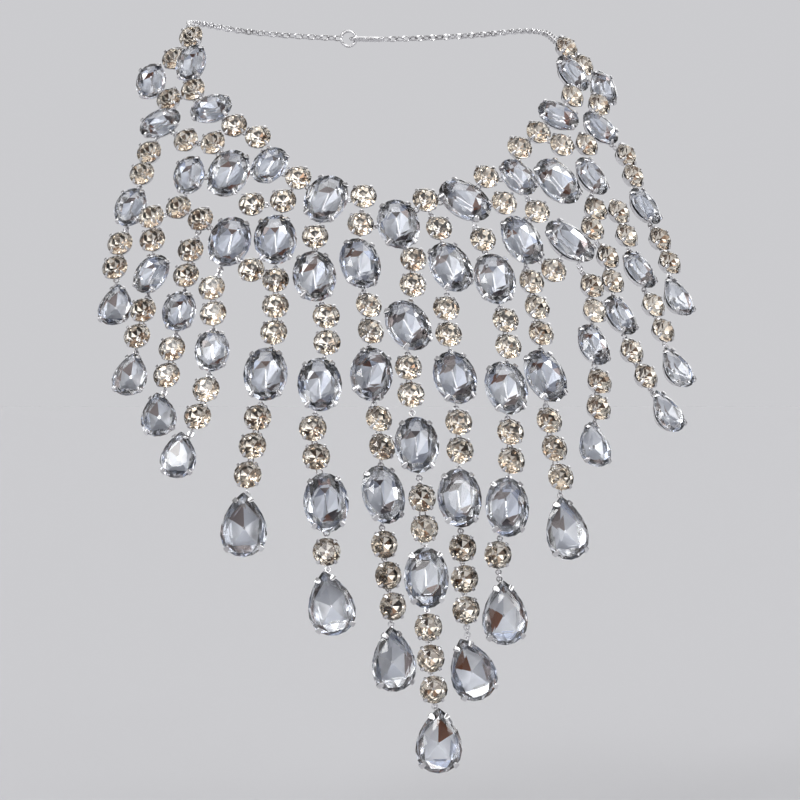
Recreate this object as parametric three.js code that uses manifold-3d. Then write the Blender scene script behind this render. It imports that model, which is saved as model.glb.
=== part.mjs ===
// A bib necklace of clear glass stones in silver-coloured settings, in the form it has when worn.
// Millimetres, +Z up. The origin is on the neck's axis, at the height of the collar's front stone.
// The wearer faces -Y, so +X is on the viewer's right.

import * as THREE from "three";
import { mergeVertices } from "three/addons/utils/BufferGeometryUtils.js";
import Module from "manifold-3d";

// Stones with their settings: outline, height of the crown above the girdle, depth of the cup below it
const STONES = {
  round: { width: 8.7, length: 8.7, crown: 1.7, cup: 3.0, sides: 10, tableSides: 5, pear: false },
  largeOval: { width: 14.0, length: 18.6, crown: 2.3, cup: 3.8, sides: 12, tableSides: 12, pear: false },
  smallOval: { width: 11.2, length: 14.8, crown: 1.9, cup: 3.2, sides: 12, tableSides: 12, pear: false },
  largePear: { width: 14.6, length: 19.8, crown: 2.4, cup: 3.8, sides: 12, tableSides: 12, pear: true },
  smallPear: { width: 11.6, length: 15.2, crown: 2.0, cup: 3.2, sides: 12, tableSides: 12, pear: true },
};
// Shares of a stone's outline: the table on top, and the flat back of its cup
const TABLE_SHARE = 0.56;
const BACK_SHARE = 0.62;
const PEAR_POINT = 0.7;

// Wire links between the settings
const LINK_WIRE = 0.8;
const LINK_SIDES = 5;
const LINK_BELOW_GIRDLE = 1.6;
const CLOSE_LINK = 0.45;
const EXTRA_LINK = 2.0;
// Stones of the collar whose gap in the front view is less than this are linked
const NET_REACH = -0.6;
const CLEARANCE = 0.3;

// The form that the worn necklace follows: a slope that ends in a drop, rounded across,
// which rises to a ridge, with a fillet at the ridge's inner end
const CHEST_FORWARD = 115;
const CHEST_SLOPE = 0.53;
const CHEST_BEND_HEIGHT = -85;
const CHEST_BEND_LENGTH = 6;
const CHEST_RADIUS = 210;
const RIDGE_HEIGHT = 93;
const RIDGE_SLOPE = 0.55;
const RIDGE_ROUNDING = 22;
const NECK_HALF_WIDTH = 57;
const NECK_FILLET_HEIGHT = 26;
const NECK_FILLET_WIDTH = 6;
// How far the girdles lie off that form, and how far a stone may turn and tilt with it
const GIRDLE_OFF_BODY = 4;
const TURN_SHARE = 0.8;
const TURN_LIMIT = 0.55;
const TILT_LIMIT = 0.6;
// Every second strand lies on top of its neighbours by this much
const OVER_NEIGHBOUR = 1.8;
// Samples of a strand's route for each of its points, and millimetres it may run on straight
const ROUTE_SAMPLES = 12;
const ROUTE_RUN_ON = 30;

// Cable chain and clasp round the back of the neck
const CHAIN_WIDTH = 2.6;
const CHAIN_SIDES = 8;
const CHAIN_STEPS = 18;
const CLASP_RING = { radius: 2.7, wire: 1.1, stretch: 0, segments: 10, wireSides: 5 };
const CLASP_HOOK = { radius: 2.3, wire: 1.4, stretch: 3.4, segments: 12, wireSides: 6 };
const CLASP_OVERLAP = 1.0;
const NAPE_DEPTH = 60;
const NAPE_HEIGHT = 74;

// The collar: each row is one stone, with its place across and up in the front view,
// and the lean of its long axis in degrees, clockwise for the viewer
const COLLAR_CENTRE = [{ cut: "largeOval", across: -3.5, up: -3, lean: -5 }];
const COLLAR_LEFT = [
  { cut: "round", across: -13.5, up: 6 },
  { cut: "largeOval", across: -25, up: 5, lean: 25 },
  { cut: "round", across: -33, up: 12 },
  { cut: "smallOval", across: -41.5, up: 16, lean: 35 },
  { cut: "round", across: -44.5, up: 25.5 },
  { cut: "round", across: -51.5, up: 29.5 },
  { cut: "smallOval", across: -57.5, up: 35.5, lean: 83 },
  { cut: "round", across: -62.5, up: 43 },
  { cut: "smallOval", across: -62.5, up: 52.5, lean: 10 },
  { cut: "round", across: -62, up: 62.5 },
  { cut: "round", across: -15, up: -3 },
  { cut: "round", across: -29, up: -7 },
  { cut: "round", across: -38, up: 4.5 },
  { cut: "round", across: -47.5, up: 3.5 },
  { cut: "largeOval", across: -54, up: 13.5, lean: 20 },
  { cut: "round", across: -57.5, up: 24 },
  { cut: "round", across: -65.5, up: 25.5 },
  { cut: "smallOval", across: -65, up: 13.5 },
  { cut: "smallOval", across: -73, up: 32, lean: 70 },
  { cut: "round", across: -70, up: 40.5 },
  { cut: "smallOval", across: -75, up: 47.5 },
  { cut: "round", across: -67.5, up: 55.5 },
  { cut: "round", across: -69, up: 3 },
  { cut: "round", across: -62.5, up: -1 },
];
const COLLAR_RIGHT = [
  { cut: "round", across: 5.5, up: 5 },
  { cut: "largeOval", across: 18, up: 5, lean: -55 },
  { cut: "round", across: 25.5, up: 13 },
  { cut: "smallOval", across: 36, up: 13, lean: -35 },
  { cut: "round", across: 37.5, up: 23 },
  { cut: "round", across: 44.5, up: 28.5 },
  { cut: "smallOval", across: 52, up: 34.5, lean: -70 },
  { cut: "round", across: 57.5, up: 42 },
  { cut: "smallOval", across: 59.5, up: 50.5, lean: -35 },
  { cut: "round", across: 59, up: 60 },
  { cut: "round", across: 9, up: -4 },
  { cut: "round", across: 22.5, up: -7.5 },
  { cut: "round", across: 30.5, up: 4.5 },
  { cut: "round", across: 41, up: 2 },
  { cut: "largeOval", across: 49, up: 12, lean: -35 },
  { cut: "round", across: 52, up: 24.5 },
  { cut: "round", across: 60.5, up: 25.5 },
  { cut: "smallOval", across: 60.5, up: 14.5, lean: -30 },
  { cut: "smallOval", across: 67.5, up: 32, lean: -55 },
  { cut: "round", across: 69.5, up: 41 },
  { cut: "smallOval", across: 73.5, up: 47.5 },
  { cut: "round", across: 66.5, up: 55.5 },
  { cut: "round", across: 60.5, up: 3.5 },
  { cut: "round", across: 58.5, up: -3 },
];
// Rounds that join the top ovals of two neighbouring strands, and how far they stand off them
const BRIDGES = {
  bridge_left: { cut: "round", across: -48.5, up: -18.5 },
  bridge_right: { cut: "round", across: 43.5, up: -18 },
};
const BRIDGE_LIFT = 2;

// The strands, from the viewer's left. pattern: r round, O and o ovals, P and p pears, - a longer link.
// link is the gap beside an oval, leans are those of the ovals and the pear, turn faces the strand sideways,
// and route holds the strand's chosen points across and up in the front view, from its top stone down
const STRANDS = [
  {
    link: 2.2, turn: 0, pattern: "rrorrp", leans: [12, 10],
    route: [[-77, 22], [-84, 2], [-89, -16], [-89, -30]],
  },
  {
    link: 1.2, turn: 0, pattern: "rrorrp", leans: [28, 12],
    route: [[-77, -1], [-77.5, -18], [-82, -36], [-84.5, -49]],
  },
  {
    link: 1.2, turn: 0, pattern: "rrorrp", leans: [5, -3],
    route: [[-66, -11], [-70, -29], [-74, -47], [-77, -60]],
  },
  {
    link: 1.2, turn: 0, pattern: "O-rrorrp", leans: [15, 0, 8],
    route: [[-54.5, -9.5], [-60, -24], [-60, -34], [-61.5, -48], [-65, -61], [-70.5, -72]],
  },
  {
    link: 0.8, turn: 0, pattern: "OrrrOrrrP", leans: [0, 3, 0],
    route: [[-41, -8], [-42.5, -34], [-46, -50], [-52, -78], [-53.5, -92]],
  },
  {
    link: 0.8, turn: 0, pattern: "OrrOrrOrP", leans: [-3, 0, -4, -12],
    route: [[-30, -20.5], [-27, -36], [-30, -52], [-33, -68], [-30, -86], [-30, -101], [-29, -116]],
  },
  {
    link: 1.2, turn: 15, pattern: "OrrOrrOrrrP", leans: [0, 15, -10, -5],
    route: [[-16, -15.5], [-14, -32], [-15, -47], [-13, -70], [-13.5, -97], [-11, -117], [-11, -133]],
  },
  {
    link: 0.8, turn: 0, pattern: "rrOrr-O-rrOrrrP", leans: [-25, 0, -2, 0],
    route: [[0, -15], [-1, -25], [-4, -46], [-2, -92], [-1, -123], [2, -156]],
  },
  {
    link: 1.2, turn: 0, pattern: "OrrOrrOrrr-P", leans: [-20, -10, -3, -20],
    route: [[11.5, -16.5], [9, -31], [10, -49], [10, -70], [9, -85], [10, -110], [10.5, -120], [12, -136]],
  },
  {
    link: 0.9, turn: 0, pattern: "OrrOrrOr-P", leans: [-3, -8, 0, -3],
    route: [[24.5, -21], [27, -38], [25, -53], [25, -72], [23, -87], [19.5, -102], [21.5, -120]],
  },
  {
    link: 1.3, turn: 5, pattern: "OrrrOrrrP", leans: [-20, -18, -8],
    route: [[35, -7.5], [38, -33], [38, -64], [40, -78], [41, -94]],
  },
  {
    link: 0.8, turn: 10, pattern: "O-rrorrp", leans: [-50, -15, -5],
    route: [[50, -8.5], [56, -24], [54, -40], [54.5, -54], [51, -70]],
  },
  {
    link: 0.8, turn: 10, pattern: "rrorrp", leans: [-25, -25],
    route: [[63, -12], [64.5, -28], [67, -41], [74.5, -56]],
  },
  {
    link: 1.2, turn: 10, pattern: "rrorrp", leans: [-30, -25],
    route: [[68, 2], [72, -15], [77, -32], [80, -44]],
  },
  {
    link: 1.2, turn: 10, pattern: "rrorrp", leans: [-30, -20],
    route: [[76, 23], [79, 7], [85, -12], [86, -26]],
  },
];
const PATTERN_STONES = {
  r: "round",
  O: "largeOval",
  o: "smallOval",
  P: "largePear",
  p: "smallPear",
};

// The chains' routes from the collar's highest stones, as shares of the way to the nape
const CHAIN_ROUTE = [
  { across: 0.98, back: 0.13, up: 1.02 },
  { across: 0.98, back: 0.4, up: 1.06 },
  { across: 0.9, back: 0.66, up: 1.06 },
  { across: 0.68, back: 0.88, up: 1.03 },
  { across: 0.4, back: 0.98, up: 1.01 },
];

const wasm = await Module();
wasm.setup();

// Turns a three.js geometry into a solid that can be joined and cut
function solidFrom(geometry) {
  const bare = geometry.clone();
  bare.deleteAttribute("normal");
  bare.deleteAttribute("uv");
  const merged = mergeVertices(bare, 1e-4);
  return new wasm.Manifold(
    new wasm.Mesh({
      numProp: 3,
      vertProperties: new Float32Array(merged.attributes.position.array),
      triVerts: new Uint32Array(merged.index.array),
    }),
  );
}

function geometryFrom(solid) {
  const mesh = solid.getMesh();
  return new THREE.BufferGeometry()
    .setAttribute("position", new THREE.BufferAttribute(mesh.vertProperties, 3))
    .setIndex(new THREE.BufferAttribute(mesh.triVerts, 1));
}

// How far the form lies in front of the neck's axis
function bodyForward(x, z) {
  const slope = (CHEST_SLOPE * (z - CHEST_BEND_HEIGHT)) / CHEST_BEND_LENGTH;
  const bend = CHEST_BEND_LENGTH * Math.log1p(Math.exp(slope));
  const chest = CHEST_FORWARD - bend - (x * x) / (2 * CHEST_RADIUS);
  const side = Math.abs(x);
  const fillet = NECK_FILLET_HEIGHT * Math.exp(-Math.max(side - NECK_HALF_WIDTH, 0) / NECK_FILLET_WIDTH);
  const ridge = RIDGE_HEIGHT - RIDGE_SLOPE * side + fillet;
  return chest * (1 - Math.exp(-Math.max(ridge - z, 0.5) / RIDGE_ROUNDING));
}

// The way a stone at this place faces
function facing(x, z) {
  const step = 0.5;
  const across = (bodyForward(x + step, z) - bodyForward(x - step, z)) / (2 * step);
  const up = (bodyForward(x, z + step) - bodyForward(x, z - step)) / (2 * step);
  const turned = THREE.MathUtils.clamp(-across * TURN_SHARE, -TURN_LIMIT, TURN_LIMIT);
  const tilted = THREE.MathUtils.clamp(-up, -TILT_LIMIT, TILT_LIMIT);
  return new THREE.Vector3(turned, -1, tilted).normalize();
}

function onBody(x, z, lift) {
  const foot = new THREE.Vector3(x, -bodyForward(x, z), z);
  return foot.addScaledVector(facing(x, z), GIRDLE_OFF_BODY + lift);
}

// A stone's place as a matrix: x across the stone, y along it, z out of its table
function stonePlace(x, z, lean, turn, lift) {
  const face = facing(x, z);
  const angle = THREE.MathUtils.degToRad(lean);
  const sideways = Math.sin(angle);
  const upright = Math.cos(angle);
  const depth = -(face.x * sideways + face.z * upright) / face.y;
  const along = new THREE.Vector3(sideways, depth, upright).normalize();
  const across = new THREE.Vector3().crossVectors(along, face);
  const swing = THREE.MathUtils.degToRad(turn);
  face.applyAxisAngle(along, swing);
  across.applyAxisAngle(along, swing);
  return new THREE.Matrix4().makeBasis(across, along, face).setPosition(onBody(x, z, lift));
}

// The outline of a stone, counter-clockwise seen from its table, its point at the top if it is a pear
function outlinePoint(stone, angle, share) {
  const taper = stone.pear ? Math.sin(angle / 2) ** PEAR_POINT : 1;
  const across = -Math.sin(angle) * taper * (stone.pear ? pearWidening : 1);
  return [(stone.width / 2) * share * across, (stone.length / 2) * share * Math.cos(angle)];
}

// The factor that brings a pear back to its full width
const widestTurn = 2 * Math.acos(Math.sqrt(1 / (2 + PEAR_POINT)));
const pearWidening = 1 / (Math.sin(widestTurn) * Math.sin(widestTurn / 2) ** PEAR_POINT);

const cornerOf = (ring, k) => ring.first + (k % ring.count);

// The triangles between an outer ring and an inner one that is turned half a step
function bandFaces(outer, inner) {
  const faces = [];
  let [i, j] = [0, 0];
  while (i < outer.count || j < inner.count) {
    const [a, b] = [cornerOf(outer, i), cornerOf(inner, j)];
    if (i < outer.count && (i + 1) / outer.count <= (j + 1) / inner.count) {
      i += 1;
      faces.push([a, cornerOf(outer, i), b]);
    } else {
      j += 1;
      faces.push([a, cornerOf(inner, j), b]);
    }
  }
  return faces;
}

// The triangles that close a ring
function fanFaces(ring) {
  const faces = [];
  for (let k = 2; k < ring.count; k++) faces.push([0, k - 1, k].map((n) => cornerOf(ring, n)));
  return faces;
}

// A cut stone in its cup: a flat table, a crown of triangular facets, a girdle, and a cup with a flat back
function stoneSolid(name, matrix, grow = 0) {
  const base = STONES[name];
  const stone = { ...base, width: base.width + 2 * grow, length: base.length + 2 * grow };
  const rings = {
    table: { count: stone.tableSides, offset: 0.5, share: TABLE_SHARE, height: stone.crown + grow },
    girdle: { count: stone.sides, offset: 0, share: 1, height: 0 },
    back: { count: stone.sides / 2, offset: 0.5, share: BACK_SHARE, height: -stone.cup - grow },
  };
  const points = [];
  for (const ring of Object.values(rings)) {
    ring.first = points.length;
    for (let k = 0; k < ring.count; k++) {
      const angle = (2 * Math.PI * (k + ring.offset)) / ring.count;
      points.push([...outlinePoint(stone, angle, ring.share), ring.height]);
    }
  }
  const faces = [
    ...bandFaces(rings.girdle, rings.table),
    ...bandFaces(rings.girdle, rings.back).map((face) => face.reverse()),
    ...fanFaces(rings.table),
    ...fanFaces(rings.back).map((face) => face.reverse()),
  ];
  const geometry = new THREE.BufferGeometry()
    .setAttribute("position", new THREE.Float32BufferAttribute(points.flat(), 3))
    .setIndex(faces.flat())
    .applyMatrix4(matrix);
  return solidFrom(geometry);
}

// A placed stone with what its links need. front is its place in the front view
function placedStone(name, x, z, lean, turn, lift) {
  const matrix = stonePlace(x, z, lean, turn, lift);
  const hold = new THREE.Vector3(0, 0, -LINK_BELOW_GIRDLE).applyMatrix4(matrix);
  const centre = new THREE.Vector3().setFromMatrixPosition(matrix);
  return { name, matrix, hold, centre, lean, front: new THREE.Vector2(x, z) };
}

// How far a stone reaches from its centre along a direction of the front view
function reach(stone, direction) {
  const size = STONES[stone.name];
  const angle = direction.angle() + THREE.MathUtils.degToRad(stone.lean);
  return Math.hypot((size.width / 2) * Math.cos(angle), (size.length / 2) * Math.sin(angle));
}

// The gap between two stones in the front view, so that no change of the form changes which are linked
function gapBetween(a, b) {
  const way = b.front.clone().sub(a.front);
  return way.length() - reach(a, way) - reach(b, way);
}

// A straight piece of link wire from one place to another
function wireBetween(from, to) {
  const way = to.clone().sub(from);
  const geometry = new THREE.CylinderGeometry(LINK_WIRE / 2, LINK_WIRE / 2, way.length(), LINK_SIDES);
  const turn = new THREE.Quaternion().setFromUnitVectors(new THREE.Vector3(0, 1, 0), way.clone().normalize());
  const middle = from.clone().add(to).multiplyScalar(0.5);
  geometry.applyMatrix4(new THREE.Matrix4().compose(middle, turn, new THREE.Vector3(1, 1, 1)));
  return solidFrom(geometry);
}

// A link from a stone to one of another piece, which stops short of that stone by the clearance
function wireUpTo(stone, other) {
  return wireBetween(stone.hold, other.hold).subtract(stoneSolid(other.name, other.matrix, CLEARANCE));
}

function joined(solids) {
  return solids.reduce((whole, next) => whole.add(next));
}

function stonesSolid(stones, links) {
  return joined([...stones.map((stone) => stoneSolid(stone.name, stone.matrix)), ...links]);
}

const smoothCurve = (points) => new THREE.CatmullRomCurve3(points, false, "catmullrom", 0.5);

// Places the stones of a strand along its route, by their lengths and the links between them
function strandStones(strand, lift) {
  const curve = smoothCurve(strand.route.map(([x, z]) => new THREE.Vector3(x, 0, z)));
  const samples = curve.getPoints(ROUTE_SAMPLES * strand.route.length);
  const end = samples.at(-1);
  const heading = end.clone().sub(samples.at(-2)).normalize();
  for (let k = 1; k <= ROUTE_RUN_ON; k++) samples.push(end.clone().addScaledVector(heading, k));
  const lengths = [0];
  for (let k = 1; k < samples.length; k++) {
    const [before, after] = [samples[k - 1], samples[k]].map((p) => onBody(p.x, p.z, lift));
    lengths.push(lengths.at(-1) + before.distanceTo(after));
  }
  const at = (distance) => {
    const k = Math.max(1, lengths.findIndex((length) => length > distance));
    const share = (distance - lengths[k - 1]) / (lengths[k] - lengths[k - 1]);
    return samples[k - 1].clone().lerp(samples[k], share);
  };
  const stones = [];
  const leans = [...strand.leans];
  let distance = 0;
  let last = null;
  let extra = 0;
  for (const letter of strand.pattern) {
    if (letter === "-") {
      extra = EXTRA_LINK;
      continue;
    }
    const name = PATTERN_STONES[letter];
    if (last) {
      const link = last === "round" && name === "round" ? CLOSE_LINK : strand.link;
      distance += (STONES[last].length + STONES[name].length) / 2 + link + extra;
    }
    extra = 0;
    const { x, z } = at(distance);
    const lean = name === "round" ? 0 : leans.shift();
    stones.push(placedStone(name, x, z, lean, strand.turn, lift));
    last = name;
  }
  return stones;
}

// Wires between the stones of a group that lie close together. A stone that lies close to none
// before it is held by the nearest of them
function netLinks(stones) {
  const links = [];
  stones.forEach((stone, i) => {
    const before = stones.slice(0, i);
    const held = before.filter((other) => gapBetween(stone, other) < NET_REACH);
    if (i && !held.length) held.push(nearest(stone, before));
    for (const other of held) links.push(wireBetween(stone.hold, other.hold));
  });
  return links;
}

function chainLinks(stones) {
  return stones.slice(1).map((stone, k) => wireBetween(stones[k].hold, stone.hold));
}

function nearest(stone, others) {
  return others.reduce((best, next) => (gapBetween(stone, next) < gapBetween(stone, best) ? next : best));
}

// A closed loop of round wire, drawn out along x by its stretch
function loopSolid({ radius, wire, stretch, segments, wireSides }, matrix) {
  const geometry = new THREE.TorusGeometry(radius, wire / 2, wireSides, segments);
  const position = geometry.attributes.position;
  for (let k = 0; k < position.count; k++) {
    const x = position.getX(k);
    if (Math.abs(x) > 1e-3) position.setX(k, x + Math.sign(x) * stretch);
  }
  return solidFrom(geometry.applyMatrix4(matrix));
}

// A tube of the chain's width along a smooth route
function chainSolid(points) {
  const section = new THREE.Shape();
  for (let k = 0; k < CHAIN_SIDES; k++) {
    const angle = (2 * Math.PI * k) / CHAIN_SIDES;
    const corner = [(CHAIN_WIDTH / 2) * Math.cos(angle), (CHAIN_WIDTH / 2) * Math.sin(angle)];
    if (k === 0) section.moveTo(...corner);
    else section.lineTo(...corner);
  }
  section.closePath();
  const geometry = new THREE.ExtrudeGeometry(section, {
    steps: CHAIN_STEPS,
    bevelEnabled: false,
    extrudePath: smoothCurve(points),
  });
  return solidFrom(geometry);
}

const materials = {
  crystal: { color: 0xd8dce6, roughness: 0.08, metalness: 0.1 },
  warmCrystal: { color: 0xdccab3, roughness: 0.08, metalness: 0.1 },
  silver: { color: 0xc4c4c8, roughness: 0.25, metalness: 1.0 },
};

const necklace = new THREE.Group();
necklace.name = "bib_necklace";

function addPiece(name, solid, material) {
  const mesh = new THREE.Mesh(geometryFrom(solid), new THREE.MeshStandardMaterial(materials[material]));
  mesh.name = name;
  necklace.add(mesh);
}

const onCollar = ({ cut, across, up, lean = 0 }) => placedStone(cut, across, up, lean, 0, 0);
const centre = COLLAR_CENTRE.map(onCollar);
const left = COLLAR_LEFT.map(onCollar);
const right = COLLAR_RIGHT.map(onCollar);
const collar = [...centre, ...left, ...right];

// The collar, in two halves that meet at the centre stone
addPiece("collar_centre", stonesSolid(centre, []), "crystal");
for (const [name, stones] of [["collar_left", left], ["collar_right", right]]) {
  const toCentre = wireUpTo(nearest(centre[0], stones), centre[0]);
  addPiece(name, stonesSolid(stones, [...netLinks(stones), toCentre]), "crystal");
}

// The strands, each hung from the nearest stone of the collar, with its pear on a link of its own
const tops = [];
STRANDS.forEach((strand, k) => {
  const number = String(k + 1).padStart(2, "0");
  const stones = strandStones(strand, k % 2 ? OVER_NEIGHBOUR : 0);
  const drop = stones.pop();
  const top = wireUpTo(stones[0], nearest(stones[0], collar));
  addPiece(`strand_${number}`, stonesSolid(stones, [...chainLinks(stones), top]), "crystal");
  addPiece(`drop_${number}`, stonesSolid([drop], [wireUpTo(drop, stones.at(-1))]), "crystal");
  tops.push(stones[0]);
});

for (const [name, { cut, across, up }] of Object.entries(BRIDGES)) {
  const stone = placedStone(cut, across, up, 0, 0, BRIDGE_LIFT);
  const neighbours = [...tops].sort((a, b) => gapBetween(stone, a) - gapBetween(stone, b)).slice(0, 2);
  const wires = neighbours.map((other) => wireUpTo(stone, other));
  addPiece(name, stonesSolid([stone], wires), "warmCrystal");
}

// The clasp at the nape: the ring stands upright and the hook lies flat through it
const nape = new THREE.Vector3(0, NAPE_DEPTH, NAPE_HEIGHT);
const ringCentre = nape.clone();
ringCentre.x -= CLASP_RING.radius;
const hookCentre = nape.clone();
hookCentre.x += CLASP_HOOK.radius + CLASP_HOOK.stretch - CLASP_OVERLAP - CLASP_HOOK.wire / 2;
const upright = new THREE.Matrix4().makeRotationX(Math.PI / 2).setPosition(ringCentre);
const flat = new THREE.Matrix4().makeTranslation(hookCentre);
addPiece("clasp_ring", loopSolid(CLASP_RING, upright), "silver");
addPiece("clasp_hook", loopSolid(CLASP_HOOK, flat), "silver");

// The chains, from the collar's highest stones to the clasp
const ringEnd = ringCentre.x - CLASP_RING.radius - CLASP_RING.wire / 2 - CLEARANCE;
const hookEnd = hookCentre.x + CLASP_HOOK.radius + CLASP_HOOK.stretch + CLASP_HOOK.wire / 2 + CLEARANCE;
const chains = [["chain_left", left, ringEnd], ["chain_right", right, hookEnd]];
for (const [name, stones, endX] of chains) {
  const first = stones.reduce((best, next) => (next.centre.z > best.centre.z ? next : best));
  const start = first.centre;
  const points = [start];
  for (const { across, back, up } of CHAIN_ROUTE) {
    const x = start.x * across;
    const y = THREE.MathUtils.lerp(start.y, NAPE_DEPTH, back);
    points.push(new THREE.Vector3(x, y, THREE.MathUtils.lerp(start.z, NAPE_HEIGHT, back) * up));
  }
  points.push(new THREE.Vector3(endX, NAPE_DEPTH, NAPE_HEIGHT));
  addPiece(name, chainSolid(points).subtract(stoneSolid(first.name, first.matrix, CLEARANCE)), "silver");
}

export default necklace;
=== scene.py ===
"""The look of a bib necklace of cut stones in claw settings, on a cable chain.

The tables give sizes and places in millimetres, in the frame's axes. MM turns them into metres
where a mesh is made.
"""

import math
import random

import bpy
from mathutils import Matrix, Vector


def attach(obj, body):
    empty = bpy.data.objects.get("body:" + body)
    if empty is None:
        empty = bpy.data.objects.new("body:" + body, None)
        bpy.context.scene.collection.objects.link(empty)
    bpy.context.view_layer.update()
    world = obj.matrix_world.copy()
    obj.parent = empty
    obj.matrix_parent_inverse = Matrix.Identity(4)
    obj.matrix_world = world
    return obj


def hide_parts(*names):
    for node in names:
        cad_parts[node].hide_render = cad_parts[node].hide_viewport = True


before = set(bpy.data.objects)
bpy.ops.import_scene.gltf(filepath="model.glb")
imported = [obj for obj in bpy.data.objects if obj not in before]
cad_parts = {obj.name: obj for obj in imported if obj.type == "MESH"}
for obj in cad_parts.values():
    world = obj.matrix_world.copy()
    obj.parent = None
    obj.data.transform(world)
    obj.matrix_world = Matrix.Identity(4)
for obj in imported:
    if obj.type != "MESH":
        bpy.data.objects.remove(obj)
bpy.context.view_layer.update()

MM = 0.001

# Stones with their settings: outline, crown above the girdle, cup below it, facets round the stone
STONES = {
    "round": dict(form="round", width=8.7, length=8.7, crown=1.7, cup=3.0, fold=8),
    "large_oval": dict(form="oval", width=14.0, length=18.6, crown=2.3, cup=3.8, fold=10),
    "small_oval": dict(form="oval", width=11.2, length=14.8, crown=1.9, cup=3.2, fold=10),
    "large_pear": dict(form="pear", width=14.6, length=19.8, crown=2.4, cup=3.8, fold=10),
    "small_pear": dict(form="pear", width=11.6, length=15.2, crown=2.0, cup=3.2, fold=10),
}
# The flat back of a cup as a share of the outline, and how sharply a pear comes to its point
BACK_SHARE = 0.62
PEAR_POINT = 0.7

# Links between the settings. Stones of the collar whose gap in the front view is less than
# NET_REACH are linked
LINK_BELOW_GIRDLE = 1.6
CLOSE_LINK = 0.45
EXTRA_LINK = 2.0
NET_REACH = -0.6

# The form that the worn necklace follows: a slope that ends in a drop, rounded across, which rises
# to a ridge, with a fillet at the ridge's inner end
CHEST_FORWARD = 115
CHEST_SLOPE = 0.53
CHEST_BEND_HEIGHT = -85
CHEST_BEND_LENGTH = 6
CHEST_RADIUS = 210
RIDGE_HEIGHT = 93
RIDGE_SLOPE = 0.55
RIDGE_ROUNDING = 22
NECK_HALF_WIDTH = 57
NECK_FILLET_HEIGHT = 26
NECK_FILLET_WIDTH = 6
# How far the girdles lie off that form, the share of its turn across that a stone takes, and how far
# a stone may turn and tilt
GIRDLE_OFF_BODY = 4
TURN_SHARE = 0.8
TURN_LIMIT = 0.55
TILT_LIMIT = 0.6
# Every second strand lies on top of its neighbours by this much
OVER_NEIGHBOUR = 1.8
# Samples of a strand's route for each of its points, and millimetres it may run on straight
ROUTE_SAMPLES = 12
ROUTE_RUN_ON = 30

# Each row is one stone: its cut, its place across and up in the front view, and the lean of its
# long axis in degrees
COLLAR_CENTRE = [("large_oval", -3.5, -3, -5)]
COLLAR_LEFT = [
    ("round", -13.5, 6, 0), ("large_oval", -25, 5, 25), ("round", -33, 12, 0),
    ("small_oval", -41.5, 16, 35), ("round", -44.5, 25.5, 0), ("round", -51.5, 29.5, 0),
    ("small_oval", -57.5, 35.5, 83), ("round", -62.5, 43, 0), ("small_oval", -62.5, 52.5, 10),
    ("round", -62, 62.5, 0), ("round", -15, -3, 0), ("round", -29, -7, 0),
    ("round", -38, 4.5, 0), ("round", -47.5, 3.5, 0), ("large_oval", -54, 13.5, 20),
    ("round", -57.5, 24, 0), ("round", -65.5, 25.5, 0), ("small_oval", -65, 13.5, 0),
    ("small_oval", -73, 32, 70), ("round", -70, 40.5, 0), ("small_oval", -75, 47.5, 0),
    ("round", -67.5, 55.5, 0), ("round", -69, 3, 0), ("round", -62.5, -1, 0),
]
COLLAR_RIGHT = [
    ("round", 5.5, 5, 0), ("large_oval", 18, 5, -55), ("round", 25.5, 13, 0),
    ("small_oval", 36, 13, -35), ("round", 37.5, 23, 0), ("round", 44.5, 28.5, 0),
    ("small_oval", 52, 34.5, -70), ("round", 57.5, 42, 0), ("small_oval", 59.5, 50.5, -35),
    ("round", 59, 60, 0), ("round", 9, -4, 0), ("round", 22.5, -7.5, 0),
    ("round", 30.5, 4.5, 0), ("round", 41, 2, 0), ("large_oval", 49, 12, -35),
    ("round", 52, 24.5, 0), ("round", 60.5, 25.5, 0), ("small_oval", 60.5, 14.5, -30),
    ("small_oval", 67.5, 32, -55), ("round", 69.5, 41, 0), ("small_oval", 73.5, 47.5, 0),
    ("round", 66.5, 55.5, 0), ("round", 60.5, 3.5, 0), ("round", 58.5, -3, 0),
]
# Rounds that join the top ovals of two neighbouring strands, and how far they stand off them
BRIDGES = {"bridge_left": ("round", -48.5, -18.5, 0), "bridge_right": ("round", 43.5, -18, 0)}
BRIDGE_LIFT = 2

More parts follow.
